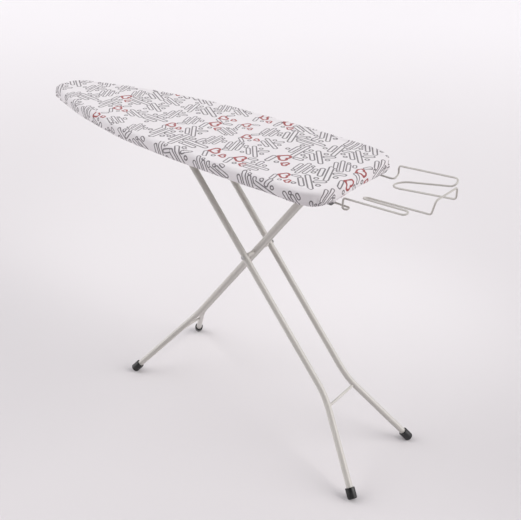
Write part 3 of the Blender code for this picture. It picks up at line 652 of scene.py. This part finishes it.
# --- Felt underlay ------------------------------------------------------------------------------
def make_underlay():
    """The pad between deck and cover: a low crowned form with a soft pressed edge."""
    low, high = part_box("felt_pad")
    section = [(0.0075, 0.0), (0.0052, 0.0004), (0.0036, 0.0016), (0.0034, 0.0030), (0.0044, 0.0043),
               (0.0070, 0.0050)]
    shape = bmesh.new()
    rows = []
    for inset, drop in section:
        row = []
        for i in range(0, OUTLINE_POINTS, 2):
            point = OUTLINE[i] - OUT[i] * (inset + 0.0002)
            fuzz = 0.00012 * noise.noise(Vector((i * 0.4, drop * 900.0, 0.0)))
            height = high.z - 0.0001 - drop * (high.z - low.z) / 0.0051 + fuzz
            row.append(shape.verts.new((point.x, point.y, height)))
        rows.append(row)
    close_rows(shape, rows)
    pad = new_piece("felt_underlay", shape, "felt", "board")
    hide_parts("felt_pad")


# --- Lever's return spring ----------------------------------------------------------------------
def make_spring():
    """A fine coil between its bracket and the lever, with a closed turn at each end."""
    low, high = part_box("lever_spring")
    wire, turns, around, sides = 0.00045, 7.0, 26, 8
    even, closed = 0.4, 0.3  # share of the rise spread evenly, and the turns lying flat at each end
    centre = (low + high) / 2.0
    radius = (high.y - low.y) / 2.0 - wire
    count = int(turns * around)
    shape = bmesh.new()
    rings = []
    for k in range(count + 1):
        turn = k / around
        share = even * turn / turns + (1.0 - even) * smoothstep(closed, turns - closed, turn)
        angle = math.tau * turn
        side = Vector((math.cos(angle), math.sin(angle), 0.0))
        height = low.z + wire + (high.z - low.z - 2.0 * wire) * share
        along = Vector((centre.x, centre.y, height)) + side * radius
        ring = []
        for j in range(sides):
            phase = math.tau * j / sides
            offset = side * math.cos(phase) + Vector((0.0, 0.0, math.sin(phase)))
            ring.append(shape.verts.new(along + offset * wire))
        rings.append(ring)
    for first, second in zip(rings, rings[1:]):
        for j in range(sides):
            shape.faces.new((first[j - 1], first[j], second[j], second[j - 1]))
    shape.faces.new(rings[0])
    shape.faces.new(list(reversed(rings[-1])))
    bmesh.ops.recalc_face_normals(shape, faces=shape.faces)
    spring = new_piece("return_spring", shape, "zinc")
    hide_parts("lever_spring")
    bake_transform(spring)


# --- Carried-over CAD nodes ---------------------------------------------------------------------
def dress_nodes():
    """Smooth shading and a procedural look for every CAD node, by its own slot."""
    slots = {entry["node"]: entry["material_slot"] for entry in frame["record"]["subparts"]}
    for name, node in NODES.items():
        node.data.materials.clear()
        node.data.materials.append(LOOKS[slots[name]])
        for polygon in node.data.polygons:
            polygon.use_smooth = True
        weld = node.modifiers.new("weld", "WELD")
        weld.merge_threshold = WELD_DISTANCE
        split = node.modifiers.new("crease", "EDGE_SPLIT")
        split.split_angle = SHARP_ANGLE


# --- Floor, light and camera --------------------------------------------------------------------
def make_floor():
    """A wide floor with painted light and shade: lighter far away and in a painted pool of light beyond
    the board, painted shade at its near sides.
    """
    n = Nodes("studio_floor")
    at = n.where()
    ahead = n.vector("DOT_PRODUCT", at, FLOOR_AHEAD)
    cloud = n.noise(at, 0.8, 2.0)
    # Painted light: the floor is painted lighter from near the camera to far away.
    near = n.remap(ahead, -0.7, 0.9, smooth=True)
    far = n.remap(ahead, 0.9, 6.5, smooth=True)
    colour = n.mix(near, rgb(0.690, 0.660, 0.677), rgb(0.775, 0.745, 0.762))
    # Painted shade: the floor's sides near the camera are painted darker.
    aside = n.math("ABSOLUTE", n.vector("DOT_PRODUCT", at, FLOOR_ASIDE))
    sides = n.remap(aside, 0.4, 1.3, 0.0, 0.30, smooth=True)
    shaded = n.math("MULTIPLY", sides, n.math("SUBTRACT", 1.0, far))
    colour = n.mix(shaded, colour, rgb(0.600, 0.570, 0.588))
    # Painted light: a pool of light painted on the floor beyond the board.
    from_painted_light_pool = n.vector("LENGTH", n.vector("SUBTRACT", at, PAINTED_LIGHT_POOL_CENTRE))
    painted_light_pool = n.remap(from_painted_light_pool, 0.1, 0.8, 0.42, 0.0, smooth=True)
    colour = n.mix(painted_light_pool, colour, rgb(0.880, 0.850, 0.868))
    # Painted light: lighter still far away.
    colour = n.mix(far, colour, rgb(0.880, 0.852, 0.880))
    colour = n.mix(n.math("MULTIPLY", cloud, 0.1), colour, rgb(0.74, 0.72, 0.73))
    material = n.finish(colour, 0.85)
    mesh = bpy.data.meshes.new("floor")
    shape = bmesh.new()
    bmesh.ops.create_grid(shape, x_segments=8, y_segments=8, size=FLOOR_HALF_SIZE)
    shape.to_mesh(mesh)
    shape.free()
    mesh.materials.append(material)
    floor = bpy.data.objects.new("floor", mesh)
    bpy.context.scene.collection.objects.link(floor)


def soft_sun(name, from_place, strength, spread, colour):
    """A sun that shines from this direction on the origin; spread is its width in degrees."""
    data = bpy.data.lights.new(name, "SUN")
    data.energy = strength
    data.angle = math.radians(spread)
    data.color = colour
    lamp = bpy.data.objects.new(name, data)
    lamp.location = from_place
    lamp.rotation_mode = "QUATERNION"
    lamp.rotation_quaternion = (-Vector(from_place)).to_track_quat("-Z", "Y")
    bpy.context.scene.collection.objects.link(lamp)


def make_light():
    """A pale sky, dimmer towards one side for all but the camera, and two soft suns."""
    world = bpy.data.worlds.new("studio")
    world.use_nodes = True
    tree = world.node_tree
    background = tree.nodes["Background"]
    background.inputs["Strength"].default_value = SKY_STRENGTH
    direction = tree.nodes.new("ShaderNodeTexCoord")
    ahead = tree.nodes.new("ShaderNodeVectorMath")
    ahead.operation = "DOT_PRODUCT"
    ahead.inputs[1].default_value = SKY_AHEAD
    dim = tree.nodes.new("ShaderNodeValToRGB")
    dim.color_ramp.elements[0].position = 0.0
    dim.color_ramp.elements[0].color = (0.985, 0.98, 1.0, 1.0)
    dim.color_ramp.elements[1].position = 0.66
    dim.color_ramp.elements[1].color = (0.17, 0.167, 0.17, 1.0)
    tree.links.new(direction.outputs["Generated"], ahead.inputs[0])
    tree.links.new(ahead.outputs["Value"], dim.inputs["Fac"])
    seen = tree.nodes.new("ShaderNodeBackground")
    seen.inputs["Color"].default_value = (0.93, 0.92, 0.94, 1.0)
    ray = tree.nodes.new("ShaderNodeLightPath")
    either = tree.nodes.new("ShaderNodeMixShader")
    tree.links.new(dim.outputs["Color"], background.inputs["Color"])
    tree.links.new(ray.outputs["Is Camera Ray"], either.inputs["Fac"])
    tree.links.new(background.outputs["Background"], either.inputs[1])
    tree.links.new(seen.outputs["Background"], either.inputs[2])
    tree.links.new(either.outputs["Shader"], tree.nodes["World Output"].inputs["Surface"])
    bpy.context.scene.world = world
    soft_sun("key", (3.2, 1.5, 2.0), 2.05, 50.0, (1.0, 0.985, 0.97))
    soft_sun("fill", (-3.8, -2.4, 2.0), 1.8, 60.0, (1.0, 1.0, 1.0))


def make_camera():
    """The camera, turned by its yaw, then its pitch, then its roll."""
    yaw, pitch, roll = CAMERA_YAW, CAMERA_PITCH, CAMERA_ROLL
    level = math.cos(pitch)
    ahead = Vector((-math.sin(yaw) * level, math.cos(yaw) * level, -math.sin(pitch)))
    right = Vector((math.cos(yaw), math.sin(yaw), 0.0))
    up = right.cross(ahead)
    across = math.cos(roll) * right + math.sin(roll) * up
    above = math.cos(roll) * up - math.sin(roll) * right
    data = bpy.data.cameras.new("camera")
    data.sensor_width = CAMERA_SENSOR
    data.lens = CAMERA_LENS
    camera = bpy.data.objects.new("camera", data)
    matrix = Matrix((across, above, -ahead)).transposed().to_4x4()
    matrix.translation = Vector(CAMERA_PLACE)
    camera.matrix_world = matrix
    bpy.context.scene.collection.objects.link(camera)
    bpy.context.scene.camera = camera


dress_nodes()
make_cover()
make_underlay()
make_spring()
make_floor()
make_light()
make_camera()
bpy.context.scene.view_settings.view_transform = "Standard"
